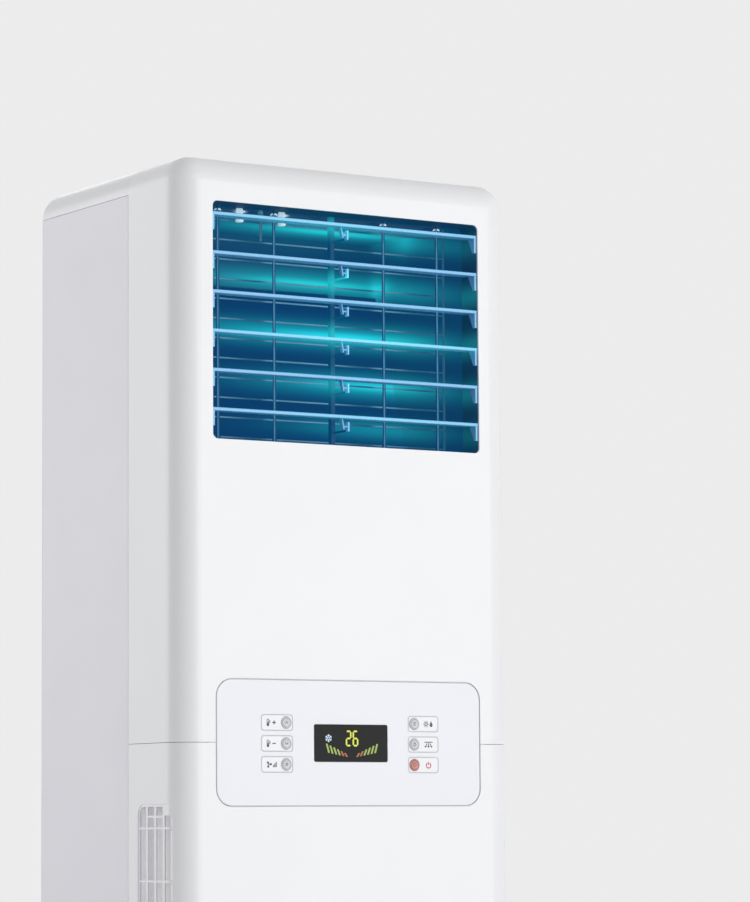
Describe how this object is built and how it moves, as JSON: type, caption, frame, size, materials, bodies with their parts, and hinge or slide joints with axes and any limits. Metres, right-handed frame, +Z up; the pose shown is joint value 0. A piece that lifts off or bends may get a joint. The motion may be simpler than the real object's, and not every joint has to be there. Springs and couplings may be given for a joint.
{
  "type": "floor standing air conditioner",
  "caption": "Tall cabinet air conditioner with a louvered outlet at the top, a control fascia and side intake grilles.",
  "frame": {"origin": "middle of the base, on the floor", "axes": "+Z up along the height, +X to the right across the front, front towards -Y"},
  "size_m": [0.5, 0.368, 1.75],
  "materials": {
    "cover_white": "glossy",
    "fascia_white": "glossy",
    "panel_paint": "satin",
    "plinth_grey": "matte",
    "base_paint": "satin",
    "foot_rubber": "matte",
    "screw_steel": "brushed",
    "galvanised": "satin",
    "louver_blue": "satin",
    "frame_navy": "matte",
    "duct_navy": "matte",
    "vane_blue": "satin",
    "link_white": "satin",
    "guard_wire": "satin",
    "fin_blue": "satin",
    "end_steel": "satin",
    "copper": "satin",
    "nut_brass": "satin",
    "pan_white": "matte",
    "hose_grey": "matte",
    "scroll_grey": "matte",
    "wheel_grey": "matte",
    "shaft_steel": "satin",
    "motor_paint": "satin",
    "window_black": "glossy",
    "label_white": "satin",
    "knob_grey": "glossy",
    "knob_red": "glossy",
    "board_green": "satin",
    "terminal_black": "matte",
    "gland_black": "matte",
    "filter_grey": "matte"
  },
  "bodies": {
    "cabinet": {"base_pan": "base_paint", "rubber_feet": "foot_rubber", "plinth": "plinth_grey", "left_side_panel": "panel_paint", "right_side_panel": "panel_paint", "back_panel": "panel_paint", "panel_screws": "screw_steel", "top_cap": "cover_white", "upper_front_cover": "cover_white", "control_fascia": "fascia_white", "label_plates": "label_white", "display_window": "window_black", "control_board": "board_green", "outlet_frame": "frame_navy", "louver_post": "frame_navy", "swing_motor": "galvanised", "outlet_duct": "duct_navy", "guard_grid": "guard_wire", "evaporator_fins": "fin_blue", "evaporator_end_plates": "end_steel", "evaporator_tubes": "copper", "refrigerant_pipes": "copper", "flare_nuts": "nut_brass", "drain_pan": "pan_white", "drain_hose": "hose_grey", "partition_plate": "galvanised", "volute": "scroll_grey", "inlet_ring": "scroll_grey", "fan_motor": "motor_paint", "motor_bracket": "galvanised", "electrical_box": "galvanised", "electrical_lid": "galvanised", "main_board": "board_green", "terminal_block": "terminal_black", "cable_gland": "gland_black", "pipe_grommet": "foot_rubber"},
    "blower_wheel": {"impeller": "wheel_grey", "motor_shaft": "shaft_steel"},
    "lower_panel": {"lower_front_panel": "cover_white"},
    "left_filter": {"filter_left": "filter_grey"},
    "right_filter": {"filter_right": "filter_grey"},
    "louver_link": {"louver_link_bar": "louver_blue"},
    "vane_link": {"vane_link_rod": "link_white"},
    "swing_lever": {"swing_crank": "link_white"},
    "louver_1": {"louver_1": "louver_blue"},
    "louver_2": {"louver_2": "louver_blue"},
    "louver_3": {"louver_3": "louver_blue"},
    "louver_4": {"louver_4": "louver_blue"},
    "louver_5": {"louver_5": "louver_blue"},
    "louver_6": {"louver_6": "louver_blue"},
    "vane_1": {"vane_1": "vane_blue"},
    "vane_2": {"vane_2": "vane_blue"},
    "vane_3": {"vane_3": "vane_blue"},
    "vane_4": {"vane_4": "vane_blue"},
    "button_1": {"button_1": "knob_grey"},
    "button_2": {"button_2": "knob_grey"},
    "button_3": {"button_3": "knob_grey"},
    "button_4": {"button_4": "knob_grey"},
    "button_5": {"button_5": "knob_grey"},
    "button_6": {"button_6": "knob_red"}
  },
  "joints": [
    {"name": "blower_spin", "type": "hinge", "parent": "cabinet", "child": "blower_wheel", "pos_m": [0, 0.04, 0.52], "axis": [0, 1, 0], "continuous": true},
    {"name": "lower_panel_pull", "type": "slide", "parent": "cabinet", "child": "lower_panel", "axis": [0, -1, 0], "range_m": [0, 0.16]},
    {"name": "left_filter_slide", "type": "slide", "parent": "lower_panel", "child": "left_filter", "axis": [0, 1, 0], "range_m": [0, 0.1]},
    {"name": "right_filter_slide", "type": "slide", "parent": "lower_panel", "child": "right_filter", "axis": [0, 1, 0], "range_m": [0, 0.1]},
    {"name": "louver_1_tilt", "type": "hinge", "parent": "cabinet", "child": "louver_1", "pos_m": [0, -0.1735, 1.665], "axis": [1, 0, 0], "range_deg": [-30, 30]},
    {"name": "louver_2_tilt", "type": "hinge", "parent": "cabinet", "child": "louver_2", "pos_m": [0, -0.1735, 1.6156], "axis": [1, 0, 0], "range_deg": [-30, 30]},
    {"name": "louver_3_tilt", "type": "hinge", "parent": "cabinet", "child": "louver_3", "pos_m": [0, -0.1735, 1.5662], "axis": [1, 0, 0], "range_deg": [-30, 30]},
    {"name": "louver_4_tilt", "type": "hinge", "parent": "cabinet", "child": "louver_4", "pos_m": [0, -0.1735, 1.5168], "axis": [1, 0, 0], "range_deg": [-30, 30]},
    {"name": "louver_5_tilt", "type": "hinge", "parent": "cabinet", "child": "louver_5", "pos_m": [0, -0.1735, 1.4674], "axis": [1, 0, 0], "range_deg": [-30, 30]},
    {"name": "louver_6_tilt", "type": "hinge", "parent": "cabinet", "child": "louver_6", "pos_m": [0, -0.1735, 1.418], "axis": [1, 0, 0], "range_deg": [-30, 30]},
    {"name": "louver_link_turn", "type": "hinge", "parent": "louver_1", "child": "louver_link", "pos_m": [-0.1925, -0.1595, 1.665], "axis": [1, 0, 0], "range_deg": [-30, 30]},
    {"name": "vane_1_swing", "type": "hinge", "parent": "cabinet", "child": "vane_1", "pos_m": [-0.166, -0.136, 1.55], "axis": [0, 0, 1], "range_deg": [-8, 72]},
    {"name": "vane_2_swing", "type": "hinge", "parent": "cabinet", "child": "vane_2", "pos_m": [-0.083, -0.136, 1.55], "axis": [0, 0, 1], "range_deg": [-8, 72]},
    {"name": "vane_3_swing", "type": "hinge", "parent": "cabinet", "child": "vane_3", "pos_m": [0.083, -0.136, 1.55], "axis": [0, 0, 1], "range_deg": [-8, 72]},
    {"name": "vane_4_swing", "type": "hinge", "parent": "cabinet", "child": "vane_4", "pos_m": [0.166, -0.136, 1.55], "axis": [0, 0, 1], "range_deg": [-8, 72]},
    {"name": "vane_link_turn", "type": "hinge", "parent": "vane_1", "child": "vane_link", "pos_m": [-0.1554, -0.11904, 1.693], "axis": [0, 0, 1], "range_deg": [-72, 8]},
    {"name": "swing_lever_turn", "type": "hinge", "parent": "cabinet", "child": "swing_lever", "pos_m": [-0.103, -0.136, 1.69], "axis": [0, 0, 1], "range_deg": [-8, 72]},
    {"name": "button_1_press", "type": "slide", "parent": "cabinet", "child": "button_1", "axis": [0, 1, 0], "range_m": [0, 0.0008], "stiffness_N_per_m": 400},
    {"name": "button_2_press", "type": "slide", "parent": "cabinet", "child": "button_2", "axis": [0, 1, 0], "range_m": [0, 0.0008], "stiffness_N_per_m": 400},
    {"name": "button_3_press", "type": "slide", "parent": "cabinet", "child": "button_3", "axis": [0, 1, 0], "range_m": [0, 0.0008], "stiffness_N_per_m": 400},
    {"name": "button_4_press", "type": "slide", "parent": "cabinet", "child": "button_4", "axis": [0, 1, 0], "range_m": [0, 0.0008], "stiffness_N_per_m": 400},
    {"name": "button_5_press", "type": "slide", "parent": "cabinet", "child": "button_5", "axis": [0, 1, 0], "range_m": [0, 0.0008], "stiffness_N_per_m": 400},
    {"name": "button_6_press", "type": "slide", "parent": "cabinet", "child": "button_6", "axis": [0, 1, 0], "range_m": [0, 0.0008], "stiffness_N_per_m": 400}
  ],
  "couplings": [
    {"joint": "louver_2_tilt", "follows": "louver_1_tilt", "ratio": 1},
    {"joint": "louver_3_tilt", "follows": "louver_1_tilt", "ratio": 1},
    {"joint": "louver_4_tilt", "follows": "louver_1_tilt", "ratio": 1},
    {"joint": "louver_5_tilt", "follows": "louver_1_tilt", "ratio": 1},
    {"joint": "louver_6_tilt", "follows": "louver_1_tilt", "ratio": 1},
    {"joint": "louver_link_turn", "follows": "louver_1_tilt", "ratio": -1},
    {"joint": "vane_2_swing", "follows": "vane_1_swing", "ratio": 1},
    {"joint": "vane_3_swing", "follows": "vane_1_swing", "ratio": 1},
    {"joint": "vane_4_swing", "follows": "vane_1_swing", "ratio": 1},
    {"joint": "vane_link_turn", "follows": "vane_1_swing", "ratio": -1},
    {"joint": "swing_lever_turn", "follows": "vane_1_swing", "ratio": 1}
  ]
}
